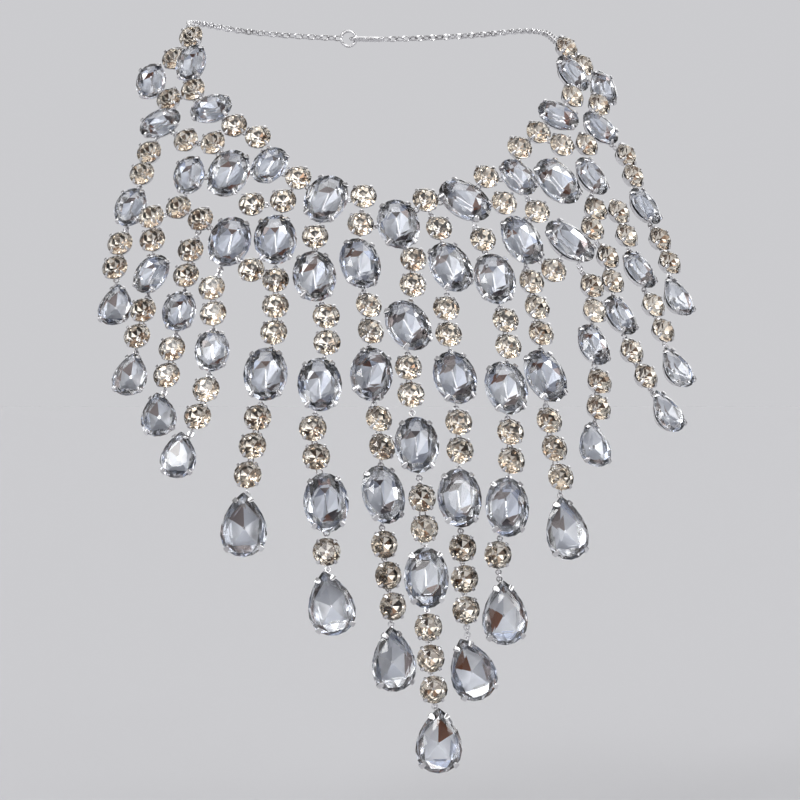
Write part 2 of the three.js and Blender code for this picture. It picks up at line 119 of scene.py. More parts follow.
# The strands, from the viewer's left: the gap beside an oval, the turn sideways, the stones, the
# leans of the ovals and the pear, and the route. A dash is a longer link
PATTERN_STONES = {
    "r": "round", "O": "large_oval", "o": "small_oval", "P": "large_pear", "p": "small_pear",
}
STRANDS = [
    (2.2, 0, "rrorrp", [12, 10], [(-77, 22), (-84, 2), (-89, -16), (-89, -30)]),
    (1.2, 0, "rrorrp", [28, 12], [(-77, -1), (-77.5, -18), (-82, -36), (-84.5, -49)]),
    (1.2, 0, "rrorrp", [5, -3], [(-66, -11), (-70, -29), (-74, -47), (-77, -60)]),
    (1.2, 0, "O-rrorrp", [15, 0, 8],
     [(-54.5, -9.5), (-60, -24), (-60, -34), (-61.5, -48), (-65, -61), (-70.5, -72)]),
    (0.8, 0, "OrrrOrrrP", [0, 3, 0], [(-41, -8), (-42.5, -34), (-46, -50), (-52, -78), (-53.5, -92)]),
    (0.8, 0, "OrrOrrOrP", [-3, 0, -4, -12],
     [(-30, -20.5), (-27, -36), (-30, -52), (-33, -68), (-30, -86), (-30, -101), (-29, -116)]),
    (1.2, 15, "OrrOrrOrrrP", [0, 15, -10, -5],
     [(-16, -15.5), (-14, -32), (-15, -47), (-13, -70), (-13.5, -97), (-11, -117), (-11, -133)]),
    (0.8, 0, "rrOrr-O-rrOrrrP", [-25, 0, -2, 0],
     [(0, -15), (-1, -25), (-4, -46), (-2, -92), (-1, -123), (2, -156)]),
    (1.2, 0, "OrrOrrOrrr-P", [-20, -10, -3, -20],
     [(11.5, -16.5), (9, -31), (10, -49), (10, -70), (9, -85), (10, -110), (10.5, -120),
      (12, -136)]),
    (0.9, 0, "OrrOrrOr-P", [-3, -8, 0, -3],
     [(24.5, -21), (27, -38), (25, -53), (25, -72), (23, -87), (19.5, -102), (21.5, -120)]),
    (1.3, 5, "OrrrOrrrP", [-20, -18, -8], [(35, -7.5), (38, -33), (38, -64), (40, -78), (41, -94)]),
    (0.8, 10, "O-rrorrp", [-50, -15, -5], [(50, -8.5), (56, -24), (54, -40), (54.5, -54), (51, -70)]),
    (0.8, 10, "rrorrp", [-25, -25], [(63, -12), (64.5, -28), (67, -41), (74.5, -56)]),
    (1.2, 10, "rrorrp", [-30, -25], [(68, 2), (72, -15), (77, -32), (80, -44)]),
    (1.2, 10, "rrorrp", [-30, -20], [(76, 23), (79, 7), (85, -12), (86, -26)]),
]

# Chain and clasp, and the chains' route from the collar as shares of the way to the nape
CHAIN_WIDTH = 2.6
CHAIN_LINK = 3.7
CHAIN_WIRE = 0.65
CHAIN_SAMPLES = 240
CHAIN_WALL_SHARE = 0.8
NAPE = Vector((0, 60, 74))
RING_RADIUS = 2.7
RING_WIRE = 1.1
HOOK_RADIUS = 2.3
HOOK_WIRE = 1.4
HOOK_STRETCH = 3.4
RING_ROUND = dict(segments=40, sides=14)
HOOK_ROUND = dict(segments=48, sides=14)
CLASP_OVERLAP = 1.0
CHAIN_ROUTE = [
    (0.98, 0.13, 1.02), (0.98, 0.4, 1.06), (0.9, 0.66, 1.06), (0.68, 0.88, 1.03), (0.4, 0.98, 1.01),
]

# The cut of the stones, as shares of the outline or the cup's depth. The girdle's band is in
# millimetres, PEAR_HEART is where a pear's facets meet, as a share of half its length, and
# KEEL_SHARE is an oval's keel as a share of its length less its width
GLASS_SHARE = 0.955
GIRDLE_BAND = 0.25
TABLE_SHARE = 0.58
STAR_SHARE = 0.8
PAVILION_DEPTH = 0.88
PEAR_HEART = -0.1
KEEL_SHARE = 1.3
# The rings of corners between keel and girdle, from the keel out: how many, their turn by a share
# of a step, their share of the outline, and their share of the pavilion's depth
PAVILION_RINGS = {
    "round": [(8, 0, 0.55, 0.5)],
    "oval": [(8, 0.5, 0.56, 0.66), (12, 0.5, 0.8, 0.4)],
    "pear": [(5, 0, 0.66, 0.5), (10, 0.5, 0.85, 0.3)],
}

# Tones of the painted reflection and painted shade that each facet's foil shows, from 0, dark, to 1,
# white.
# Facets beside an oval's keel and at its ends take one of theirs, and those of a round's heart lie in
# a bright or a dark range by turns. A facet lies beside the keel if the places of its corners across
# the stone add up to BESIDE_KEEL of the width
BESIDE_KEEL = 0.36
BRIGHT_TONES = (0.55, 1)
DARK_TONES = (0, 0.5)
SIDE_TONES = (0.46, 0.5, 0.54, 0.58)
END_TONES = (0.08, 0.1, 0.13, 0.2, 0.3)
# The facets outside the heart
RIM_TONES = (0.2, 0.32, 0.42, 0.56, 0.7, 0.8, 0.88, 0.95, 1.0)
# The painted reflections and painted shade of the five facets of a pear's heart, counter-clockwise
# from its point, and each strand's pear
PEAR_TONES = {
    "taupe": (0.18, 0.6, 0.5, 0.66, 0.56),
    "clear": (0.56, 0.68, 0.5, 0.66, 0.6),
    "white_left": (0.97, 0.66, 0.6, 0.64, 0.03),
    "dark_left": (0.03, 0.6, 0.56, 0.66, 0.95),
    "white_right": (0.6, 0.02, 0.6, 0.66, 0.97),
}
DROP_TONES = [
    "taupe", "taupe", "taupe", "taupe", "taupe", "clear", "clear", "white_left", "dark_left",
    "white_right", "taupe", "clear", "taupe", "taupe", "clear",
]

# A stone's materials, by their places in its piece's list
GLASS_SLOT = 0
FOIL_SLOT = 1
HEART_SLOT = 2

# The cups. The rim rises at each claw, over CLAW_RISE_TURN radians beside it
CUP_SIDES = 32
CUP_RIM_HIGH = -0.2
CUP_RIM_LOW = -1.3
CLAW_RISE_TURN = 0.3
# The dished back from its middle out, and the floor inside: share of the outline, rise off the back
CUP_BACK = [(0.2, 0.35), (0.26, 0.3), (0.5, 0.3), (0.54, 0), (0.6, 0)]
CUP_FLOOR = [(0.55, 0.5), (0.2, 0.6)]
# The wall, up outside and down inside: inset of the outline, share of the way down from the rim
CUP_WALL = [(0, 0.94), (0, 0.5), (0, 0.06), (0.015, 0), (0.055, 0), (0.07, 0.06), (0.07, 0.5)]

# The claws. Their width is a share of the stone's and a little more, and so is their reach over the
# crown. The section holds shares of half the width and half the thickness
CLAW_TURNS = (40, 140, 220, 320)
CLAW_FOOT = 1.8
CLAW_WIDTH_SHARE = 0.1
CLAW_WIDTH_MORE = 0.1
CLAW_REACH_SHARE = 0.075
CLAW_TIP = 0.4
CLAW_THICKNESS = 0.35
CLAW_SECTION = [(1, -1), (1.05, 0.2), (0.7, 1), (-0.7, 1), (-1.05, 0.2), (-1, -1)]
# A turn small enough to give the outline's direction
NUDGE = 0.02

# The jump rings
RING_SEGMENTS = 16
RING_SIDES = 6
LINK_WIRE = 0.5
LINK_WIDTH = 2.2
LINK_SINK = 0.45

# Where noise has most of its values
NOISE_LOW = 0.3
NOISE_HIGH = 0.7
CREASE_ANGLE = 45

# The camera, placed from the origin along its own ways. CAMERA_FOCUS is in pixels of the photo
CAMERA_TURN = -8
CAMERA_AWAY = 916
CAMERA_ASIDE = 7.4
CAMERA_HEIGHT = -55.5
CAMERA_FOCUS = 2720
PHOTO_SIZE = 800
SENSOR = 36

# The floor's height, and half its side in metres
FLOOR_HEIGHT = -200
FLOOR_HALF = 60

# The way to the sun, and how many degrees wide it is
SUN_WAY = (-0.6, -0.8, 0.8)
SUN_POWER = 0.5
SUN_ANGLE = 14
# What the camera sees behind the necklace and below it
BACKDROP = (0.6, 0.6, 0.62)
FLOOR_COLOUR = (0.57, 0.57, 0.59)
# What the stones reflect: a room, whose grey goes by height from 0, straight down, to 1, straight up,
# and softboxes with the way to each, its half angle in degrees and its strength. Their edges fade
# out at SOFTBOX_FADE of the half angle
SOFTBOX_FADE = 1.15
ROOM = [(0.5, (0.12,) * 3), (0.6, (0.16,) * 3), (0.8, (0.4,) * 3)]
SOFTBOXES = [
    ((-0.62, -0.68, 0.45), 19, 1.5), ((0.78, -0.6, 0.2), 15, 1.4), ((0.1, -0.35, 1.0), 24, 1.4),
    ((0.35, 0.9, 0.45), 20, 1.6), ((-0.8, 0.5, 0.25), 14, 1.4), ((0.95, -0.2, 0.1), 13, 1.6),
    ((-0.92, -0.3, 0.12), 13, 1.6), ((-0.18, -0.95, 0.12), 5, 5.0), ((0.32, -0.9, 0.5), 5, 6.0),
    ((-0.9, -0.3, 0.05), 6, 5.0), ((0.95, -0.1, 0.4), 6, 5.0), ((0.1, -0.95, 0.05), 5, 5.0),
    ((-0.35, -0.5, 0.85), 5, 6.0),
]


def body_forward(x, z):
    """How far the form lies in front of the neck's axis."""
    slope = CHEST_SLOPE * (z - CHEST_BEND_HEIGHT) / CHEST_BEND_LENGTH
    bend = CHEST_BEND_LENGTH * math.log1p(math.exp(slope))
    chest = CHEST_FORWARD - bend - x * x / (2 * CHEST_RADIUS)
    side = abs(x)
    fillet = NECK_FILLET_HEIGHT * math.exp(-max(side - NECK_HALF_WIDTH, 0) / NECK_FILLET_WIDTH)
    ridge = RIDGE_HEIGHT - RIDGE_SLOPE * side + fillet
    return chest * (1 - math.exp(-max(ridge - z, 0.5) / RIDGE_ROUNDING))


def facing(x, z, step=0.5):
    """The way a stone at this place faces."""
    across = (body_forward(x + step, z) - body_forward(x - step, z)) / (2 * step)
    up = (body_forward(x, z + step) - body_forward(x, z - step)) / (2 * step)
    turned = max(-TURN_LIMIT, min(TURN_LIMIT, -across * TURN_SHARE))
    tilted = max(-TILT_LIMIT, min(TILT_LIMIT, -up))
    return Vector((turned, -1, tilted)).normalized()


def on_body(x, z, lift):
    return Vector((x, -body_forward(x, z), z)) + facing(x, z) * (GIRDLE_OFF_BODY + lift)


class Stone:
    """A placed stone: x of its matrix is across it, y along it, z out of its table."""

    def __init__(self, cut, x, z, lean, turn=0, lift=0):
        self.cut = cut
        self.lean = lean
        self.front = Vector((x, z))
        face = facing(x, z)
        sideways, upright = math.sin(math.radians(lean)), math.cos(math.radians(lean))
        depth = -(face.x * sideways + face.z * upright) / face.y
        along = Vector((sideways, depth, upright)).normalized()
        swing = Matrix.Rotation(math.radians(turn), 3, along)
        across = swing @ along.cross(face)
        self.face = swing @ face
        self.across, self.along = across, along
        self.centre = on_body(x, z, lift)
        basis = Matrix((across, along, self.face)).transposed().to_4x4()
        self.matrix = Matrix.Translation(self.centre) @ basis
        self.hold = self.matrix @ Vector((0, 0, -LINK_BELOW_GIRDLE))
        self.tones = "clear"

    def reach(self, way):
        size = STONES[self.cut]
        across, along = self.across.dot(way), self.along.dot(way)
        return math.hypot(size["width"] / 2 * across, size["length"] / 2 * along)

    def front_reach(self, way):
        size = STONES[self.cut]
        angle = math.atan2(way.y, way.x) + math.radians(self.lean)
        return math.hypot(size["width"] / 2 * math.cos(angle), size["length"] / 2 * math.sin(angle))

    def gap_to(self, other):
        """The gap between two stones in the front view."""
        way = other.front - self.front
        return way.length - self.front_reach(way) - other.front_reach(way)

    def nearest(self, others):
        return min(others, key=self.gap_to)


def smooth_curve(points, count):
    """Count steps along a Catmull-Rom curve through the points, evenly spaced in its parameter."""
    ends = [2 * points[0] - points[1], *points, 2 * points[-1] - points[-2]]
    spans = len(points) - 1
    samples = []
    for k in range(count + 1):
        position = k / count * spans
        i = min(int(position), spans - 1)
        t = position - i
        before, a, b, after = ends[i:i + 4]
        start, end = (b - before) / 2, (after - a) / 2
        bend = 2 * (a - b) + start + end
        samples.append(a + t * (start + t * (-3 * (a - b) - 2 * start - end + t * bend)))
    return samples


def strand_stones(strand, lift):
    """Places the stones of a strand along its route, by their lengths and the links between them."""
    link, turn, pattern, leans, route = strand
    samples = smooth_curve([Vector((x, 0, z)) for x, z in route], ROUTE_SAMPLES * len(route))
    heading = (samples[-1] - samples[-2]).normalized()
    end = samples[-1].copy()
    samples += [end + heading * k for k in range(1, ROUTE_RUN_ON + 1)]
    places = [on_body(p.x, p.z, lift) for p in samples]
    lengths = [0.0]
    for before, after in zip(places, places[1:]):
        lengths.append(lengths[-1] + (after - before).length)
    stones = []
    leans = list(leans)
    distance = extra = 0.0
    last = None
    for letter in pattern:
        if letter == "-":
            extra = EXTRA_LINK
            continue
        cut = PATTERN_STONES[letter]
        if last:
            gap = CLOSE_LINK if last == cut == "round" else link
            distance += (STONES[last]["length"] + STONES[cut]["length"]) / 2 + gap + extra
        extra = 0.0
        k = next(k for k in range(1, len(lengths)) if lengths[k] > distance)
        share = (distance - lengths[k - 1]) / (lengths[k] - lengths[k - 1])
        place = samples[k - 1].lerp(samples[k], share)
        lean = 0 if cut == "round" else leans.pop(0)
        stones.append(Stone(cut, place.x, place.z, lean, turn, lift))
        last = cut
    return stones


def net_pairs(stones):
    """The pairs of stones of a collar half that a link joins."""
    pairs = []
    for i, stone in enumerate(stones[1:], 1):
        before = stones[:i]
        held = [other for other in before if stone.gap_to(other) < NET_REACH]
        pairs += [(stone, other) for other in held or [stone.nearest(before)]]
    return pairs


# Shapes

class Shape:
    """Points and faces in millimetres, gathered until they become one piece."""

    def __init__(self):
        self.points, self.faces, self.tones, self.slots = [], [], [], []

    def add(self, points, faces, tones=None, slots=None):
        first = len(self.points)
        self.points += points
        self.faces += [tuple(first + i for i in face) for face in faces]
        self.tones += tones or [0.5] * len(faces)
        self.slots += slots or [0] * len(faces)


def outline(size, angle, share=1.0):
    """A point of a stone's outline, counter-clockwise from the top, drawn in towards its heart."""
    across = -math.sin(angle)
    heart = 0.0
    if size["form"] == "pear":
        widest = 2 * math.acos(math.sqrt(1 / (2 + PEAR_POINT)))
        full = math.sin(widest) * math.sin(widest / 2) ** PEAR_POINT
        across *= abs(math.sin(angle / 2)) ** PEAR_POINT / full
        heart = PEAR_HEART * size["length"] / 2
    x = size["width"] / 2 * across
    y = size["length"] / 2 * math.cos(angle)
    return share * x, heart + share * (y - heart)


def ring_points(size, count, offset, share, height):
    turns = [2 * math.pi * (k + offset) / count for k in range(count)]
    return [Vector((*outline(size, turn, share), height)) for turn in turns]


def band(outer, inner, first_outer, first_inner):
    """Triangles between two closed rings of any counts, outwards when the outer one is lower."""
    faces = []
    i = j = 0
    while i < outer or j < inner:
        a, b = first_outer + i % outer, first_inner + j % inner
        if i < outer and (i + 1) * inner <= (j + 1) * outer:
            i += 1
            faces.append((a, first_outer + i % outer, b))
        else:
            j += 1
            faces.append((a, first_inner + j % inner, b))
    return [face for face in faces if len(set(face)) == 3]


def stack(rings, close_first=False, close_last=False):
    """A skin through rings of points, from the lowest to the highest one."""
    points, faces, firsts = [], [], []
    for ring in rings:
        firsts.append(len(points))
        points += ring
    bands = []
    for k in range(len(rings) - 1):
        made = band(len(rings[k]), len(rings[k + 1]), firsts[k], firsts[k + 1])
        faces += made
        bands.append(len(made))
    if close_first:
        faces.append(tuple(reversed(range(len(rings[0])))))
    if close_last:
        faces.append(tuple(range(firsts[-1], firsts[-1] + len(rings[-1]))))
    return points, faces, bands


def gem_rings(size):
    """A stone's rings of corners from its keel to its table, and how many belong to the pavilion."""
    fold = size["fold"]
    inner_width = size["width"] * GLASS_SHARE
    glass = dict(size, width=inner_width, length=size["length"] - size["width"] + inner_width)
    star = size["crown"] * (1 - STAR_SHARE * math.cos(math.pi / fold)) / (1 - TABLE_SHARE)
    depth = size["cup"] * PAVILION_DEPTH
    half_band = GIRDLE_BAND / 2
    if size["form"] == "oval":
        reach = KEEL_SHARE * (glass["length"] - glass["width"]) / 2
        keel = [Vector((0, reach, -depth)), Vector((0, -reach, -depth))]
    else:
        keel = [Vector((*outline(glass, 0, 0), -depth))]
    pavilion = [keel]
    for count, offset, share, deep in PAVILION_RINGS[size["form"]]:
        pavilion.append(ring_points(glass, count, offset, share, -deep * depth))
    pavilion.append(ring_points(glass, 2 * fold, 0, 1, -half_band))
    crown = [
        ring_points(glass, 2 * fold, 0, 1, half_band),
        ring_points(glass, fold, 0, STAR_SHARE, star),
        ring_points(glass, fold, 0.5, TABLE_SHARE, size["crown"]),
    ]
    return pavilion + crown, len(pavilion)


def heart_tones(stone, points, heart, chance):
    """The tones of painted reflection and painted shade for the facets that meet at the keel."""
    size = STONES[stone.cut]
    if size["form"] == "pear":
        return list(PEAR_TONES[stone.tones])
    if size["form"] == "round":
        return [chance.uniform(*(BRIGHT_TONES if k % 2 else DARK_TONES)) for k in range(len(heart))]
    tones = []
    for face in heart:
        one_end = len({points[i].y > 0 for i in face}) == 1
        beside = abs(sum(points[i].x for i in face)) > BESIDE_KEEL * size["width"]
        tones.append(chance.choice(END_TONES if one_end and not beside else SIDE_TONES))
    return tones


def add_gem(shape, stone, chance):
    """A cut stone: table, star and kite facets, girdle, and a foiled pavilion that ends in a keel."""
    size = STONES[stone.cut]
    rings, pavilion_rings = gem_rings(size)
    points, faces, bands = stack(rings, close_last=True)
    heart_count = bands[0]
    # Each facet's tone is the painted reflection or painted shade its foil shows
    tones = heart_tones(stone, points, faces[:heart_count], chance)
    tones += [chance.choice(RIM_TONES) for _ in faces[heart_count:]]
    foiled_count = sum(bands[:pavilion_rings - 1])
    slots = [FOIL_SLOT if k < foiled_count else GLASS_SLOT for k in range(len(faces))]
    if size["form"] != "round":
        slots[:heart_count] = [HEART_SLOT] * heart_count
    shape.add([stone.matrix @ p for p in points], faces, tones, slots)


def cone_share(size, depth):
    """How wide a cup is at a depth below the girdle, as a share of the outline."""
    return 1 - (1 - BACK_SHARE) * depth / size["cup"]


def add_cup(shape, stone):
    """The stamped cup that holds a stone: a wall that rises at the claws, and a dished back."""
    size = STONES[stone.cut]
    cup = size["cup"]
    claws = [math.radians(turn) for turn in CLAW_TURNS]
    turns = [2 * math.pi * k / CUP_SIDES for k in range(CUP_SIDES)]

    def rim(turn):
        off = min(abs((turn - claw + math.pi) % (2 * math.pi) - math.pi) for claw in claws)
        return CUP_RIM_LOW + (CUP_RIM_HIGH - CUP_RIM_LOW) * math.exp(-(off / CLAW_RISE_TURN) ** 2)

    def wall(inset, down):
        ring = []
        for turn in turns:
            height = rim(turn) + (-cup - rim(turn)) * down
            share = cone_share(size, -height) - inset
            ring.append(Vector((*outline(size, turn, share), height)))
        return ring

    def flat(share, rise):
        return [Vector((*outline(size, turn, share), rise - cup)) for turn in turns]

    rings = [flat(*row) for row in CUP_BACK]
    rings += [wall(*row) for row in CUP_WALL]
    rings += [flat(*row) for row in CUP_FLOOR]
    points, faces, _ = stack(rings, close_first=True, close_last=True)
    shape.add([stone.matrix @ p for p in points], faces)


def add_claws(shape, stone):
    """Four claws that rise from the cup and bend over the crown."""
    size = STONES[stone.cut]
    slope = size["crown"] / ((1 - TABLE_SHARE) * size["width"] / 2)
    half_width = (CLAW_WIDTH_SHARE * size["width"] + CLAW_WIDTH_MORE) / 2
    over = CLAW_REACH_SHARE * size["width"]
    tip = over + CLAW_TIP
    for degrees in CLAW_TURNS:
        turn = math.radians(degrees)
        here = Vector(outline(size, turn))
        ahead, behind = outline(size, turn + NUDGE), outline(size, turn - NUDGE)
        tangent = Vector((ahead[0] - behind[0], ahead[1] - behind[1], 0)).normalized()
        outward = Vector((tangent.y, -tangent.x, 0))
        low = (1 - cone_share(size, CLAW_FOOT)) * here.length
        # From the foot to the tip: how far out of the outline, how high, and how wide
        path = [
            (-low, -CLAW_FOOT, 1.0), (-0.25 * low, -0.5, 1.0), (0.05, 0.1, 1.0), (0.0, 0.55, 1.0),
            (-0.35 * over - 0.15, 0.6 + 0.35 * over * slope, 0.95),
            (-over, 0.5 + over * slope, 0.85), (-tip, 0.42 + tip * slope, 0.45),
        ]
        rings = []
        for k, (out, height, spread) in enumerate(path):
            before, after = path[max(k - 1, 0)], path[min(k + 1, len(path) - 1)]
            way = Vector((after[0] - before[0], after[1] - before[1])).normalized()
            centre = Vector((*here, 0)) + outward * out + Vector((0, 0, height))
            wide = tangent * (half_width * spread)
            thick = (outward * way.y - Vector((0, 0, way.x))) * (CLAW_THICKNESS / 2)
            rings.append([centre + wide * across + thick * up for across, up in CLAW_SECTION])
        points, faces, _ = stack(rings, close_first=True, close_last=True)
        shape.add([stone.matrix @ p for p in points], faces)


def add_loop(shape, centre, along, normal, length, width, wire,
             segments=RING_SEGMENTS, sides=RING_SIDES):
    """A closed oval loop of round wire."""
    aside = normal.cross(along).normalized()
    straight = (length - width) / 2
    radius = (width - wire) / 2
    rings = []
    for k in range(segments):
        turn = 2 * math.pi * k / segments
        out = along * math.cos(turn) + aside * math.sin(turn)
        shift = max(-1, min(1, 2 * math.cos(turn))) * straight
        middle = centre + out * radius + along * shift
        ring = []
        for s in range(sides):
            round_turn = 2 * math.pi * s / sides
            ring.append(middle + (out * math.cos(round_turn) + normal * math.sin(round_turn))
                        * (wire / 2))
        rings.append(ring)
    points = [p for ring in rings for p in ring]
    faces = []
    for k in range(segments):
        for s in range(sides):
            a, b = k * sides, (k + 1) % segments * sides
            t = (s + 1) % sides
            faces.append((a + s, b + s, b + t, a + t))
    shape.add(points, faces)


def add_link(shape, a, b):
    """Interlocking jump rings from one stone's cup to another's."""
    way = (b.hold - a.hold).normalized()
    start = a.reach(way) * cone_share(STONES[a.cut], LINK_BELOW_GIRDLE) - LINK_SINK
    end = b.reach(way) * cone_share(STONES[b.cut], LINK_BELOW_GIRDLE) - LINK_SINK
    total = (b.hold - a.hold).length - start - end
    shortest = 4 * LINK_WIRE
    count = max(1, int((total - 2 * LINK_WIRE) / (shortest - 2 * LINK_WIRE)))
    length = (total + (count - 1) * 2 * LINK_WIRE) / count
    normal = (a.face + b.face).normalized()
    normal = (normal - way * normal.dot(way)).normalized()
    side = way.cross(normal)
    for k in range(count):
        centre = a.hold + way * (start + length / 2 + k * (length - 2 * LINK_WIRE))
        # The rings lie flat and stand up by turns, and a row of three or more starts upright
        flat = k % 2 == (count > 2)
        add_loop(shape, centre, way, normal if flat else side, length,
                 min(LINK_WIDTH, length), LINK_WIRE)


# Materials

def new_material(name):
    material = bpy.data.materials.new(name)
    material.use_nodes = True
    tree = material.node_tree
    return material, tree, tree.nodes["Principled BSDF"]


def noise(tree, scale, detail):
    place = tree.nodes.new("ShaderNodeTexCoord")
    texture = tree.nodes.new("ShaderNodeTexNoise")
    texture.inputs["Scale"].default_value = scale
    texture.inputs["Detail"].default_value = detail
    tree.links.new(place.outputs["Object"], texture.inputs["Vector"])
    return texture.outputs["Fac"]


def ramp(tree, value, stops):
    node = tree.nodes.new("ShaderNodeValToRGB")
    elements = node.color_ramp.elements
    while len(elements) < len(stops):
        elements.new(0.5)
    for element, (position, colour) in zip(elements, stops):
        element.position = position
        element.color = (*colour, 1)
    tree.links.new(value, node.inputs["Fac"])
    return node.outputs["Color"]


def spread(tree, value, low, high):
    """Spreads noise over a range of values."""
    node = tree.nodes.new("ShaderNodeMapRange")
    node.inputs["From Min"].default_value = NOISE_LOW
    node.inputs["From Max"].default_value = NOISE_HIGH
    node.inputs["To Min"].default_value = low
    node.inputs["To Max"].default_value = high
    tree.links.new(value, node.inputs["Value"])
    return node.outputs["Result"]


def bump(tree, shader, height, distance):
    node = tree.nodes.new("ShaderNodeBump")
    node.inputs["Distance"].default_value = distance
    tree.links.new(height, node.inputs["Height"])
    tree.links.new(node.outputs["Normal"], shader.inputs["Normal"])


def silver_material():
    material, tree, shader = new_material("silver_plate")
    shader.inputs["Metallic"].default_value = 1.0
    clouds = noise(tree, scale=260, detail=3)
    tint = ramp(tree, clouds, [(NOISE_LOW, (0.52, 0.51, 0.52)), (NOISE_HIGH, (0.86, 0.86, 0.88))])
    tree.links.new(tint, shader.inputs["Base Color"])
    scratches = noise(tree, scale=1800, detail=4)
    tree.links.new(spread(tree, scratches, low=0.06, high=0.2), shader.inputs["Roughness"])
    bump(tree, shader, scratches, distance=0.00002)
    return material


def glass_material(name, tint, deep_tint):
    material, tree, shader = new_material(name)
    shader.inputs["Transmission Weight"].default_value = 1.0
    shader.inputs["IOR"].default_value = 1.52
    body = noise(tree, scale=140, detail=1)
    tree.links.new(ramp(tree, body, [(0.35, deep_tint), (0.65, tint)]), shader.inputs["Base Color"])
    wipes = noise(tree, scale=700, detail=2)
    tree.links.new(spread(tree, wipes, low=0.0, high=0.03), shader.inputs["Roughness"])
    return material


def foil_material(name, stops, rough, clouded):
    """A mirror foil whose colour is a painted reflection or painted shade set by each facet's tone, a
    little darker in its clouds.
    """
    material, tree, shader = new_material(name)
    shader.inputs["Metallic"].default_value = 1.0
    painted_reflection_tone = tree.nodes.new("ShaderNodeAttribute")
    painted_reflection_tone.attribute_name = "painted_reflection_tone"
    # The facet's tone picks its painted reflection or painted shade
    colour = ramp(tree, painted_reflection_tone.outputs["Fac"], stops)
    clouds = noise(tree, scale=500, detail=2)
    cloud = ramp(tree, clouds, [(NOISE_LOW, (clouded,) * 3), (NOISE_HIGH, (1, 1, 1))])
    mix = tree.nodes.new("ShaderNodeMix")
    mix.data_type = "RGBA"
    mix.blend_type = "MULTIPLY"
    mix.inputs["Factor"].default_value = 1.0
    tree.links.new(colour, mix.inputs["A"])
    tree.links.new(cloud, mix.inputs["B"])
    tree.links.new(mix.outputs["Result"], shader.inputs["Base Color"])
    wear = noise(tree, scale=900, detail=2)
    tree.links.new(spread(tree, wear, rough, rough + 0.1), shader.inputs["Roughness"])
    return material


SILVER = silver_material()
ICE_GLASS = glass_material("ice_glass", (0.97, 0.98, 1.0), (0.93, 0.95, 1.0))
WARM_GLASS = glass_material("warm_glass", (1.0, 0.99, 0.97), (0.99, 0.97, 0.94))
# The colours of the foils' painted reflections and painted shade, as stops along the tone
ICE_PAINTED_REFLECTIONS = [
    (0.0, (0.02, 0.02, 0.025)), (0.05, (0.34, 0.12, 0.05)), (0.1, (0.08, 0.07, 0.08)),
    (0.2, (0.33, 0.28, 0.27)), (0.32, (0.42, 0.46, 0.56)), (0.5, (0.56, 0.58, 0.63)),
    (0.85, (1.0, 1.0, 1.0)),
]
WARM_PAINTED_REFLECTIONS = [
    (0.0, (0.03, 0.02, 0.015)), (0.14, (0.18, 0.11, 0.07)), (0.34, (0.50, 0.43, 0.36)),
    (0.6, (0.84, 0.78, 0.70)), (0.88, (1.0, 0.96, 0.89)),
]
ICE_FOIL = foil_material("ice_foil", ICE_PAINTED_REFLECTIONS, rough=0.08, clouded=0.88)
ICE_HEART = foil_material("ice_heart", ICE_PAINTED_REFLECTIONS, rough=0.36, clouded=0.95)
WARM_FOIL = foil_material("warm_foil", WARM_PAINTED_REFLECTIONS, rough=0.04, clouded=0.88)


# Pieces

def make_piece(name, shape, materials, node, smooth=False):
    mesh = bpy.data.meshes.new(name)
    mesh.from_pydata([p * MM for p in shape.points], [], shape.faces)
    for material in materials:
        mesh.materials.append(material)
    mesh.polygons.foreach_set("material_index", shape.slots)
    mesh.polygons.foreach_set("use_smooth", [smooth] * len(mesh.polygons))
    # Each face's tone of painted reflection or painted shade, read by the foils
    painted_reflection_tone = mesh.attributes.new("painted_reflection_tone", "FLOAT", "FACE")
    painted_reflection_tone.data.foreach_set("value", shape.tones)
    mesh.validate()
    piece = bpy.data.objects.new(name, mesh)
    bpy.context.scene.collection.objects.link(piece)
    if smooth:
        piece.modifiers.new("creases", "EDGE_SPLIT").split_angle = math.radians(CREASE_ANGLE)
    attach(piece, "root")
    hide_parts(node)
    return piece


def dress(node, stones, links):
    """The pieces of one node: its blue-white stones, its warm rounds, and its metal."""
    chance = random.Random(node)
    ice, warm, metal = Shape(), Shape(), Shape()
    for stone in stones:
        add_gem(warm if stone.cut == "round" else ice, stone, chance)
        add_cup(metal, stone)
        add_claws(metal, stone)
    for a, b in links:
        add_link(metal, a, b)
    if ice.faces:
        make_piece(f"{node}_ice", ice, [ICE_GLASS, ICE_FOIL, ICE_HEART], node)
    if warm.faces:
        make_piece(f"{node}_warm", warm, [WARM_GLASS, WARM_FOIL], node)
    make_piece(f"{node}_silver", metal, [SILVER], node, smooth=True)


def chain_of_links(shape, path):
    """Cable links along a path, each turned a quarter from the last."""
    lengths = [0.0]
    for before, after in zip(path, path[1:]):
        lengths.append(lengths[-1] + (after - before).length)
    inner = CHAIN_LINK - 2 * CHAIN_WIRE
    count = round((lengths[-1] - 2 * CHAIN_WIRE) / inner)
    step = (lengths[-1] - 2 * CHAIN_WIRE) / count

    def at(distance):
        k = next((k for k in range(1, len(lengths)) if lengths[k] >= distance), len(lengths) - 1)
        share = (distance - lengths[k - 1]) / (lengths[k] - lengths[k - 1])
        return path[k - 1].lerp(path[k], share)

    for n in range(count):
        a, b = at(n * step), at((n + 1) * step + 2 * CHAIN_WIRE)
        along = (b - a).normalized()
        up = (Vector((0, 0, 1)) - along * along.z).normalized()
        side = along.cross(up)
        roll = math.radians(45 if n % 2 else -45)
        normal = up * math.cos(roll) + side * math.sin(roll)
        add_loop(shape, (a + b) / 2, along, normal, (b - a).length, CHAIN_WIDTH, CHAIN_WIRE)


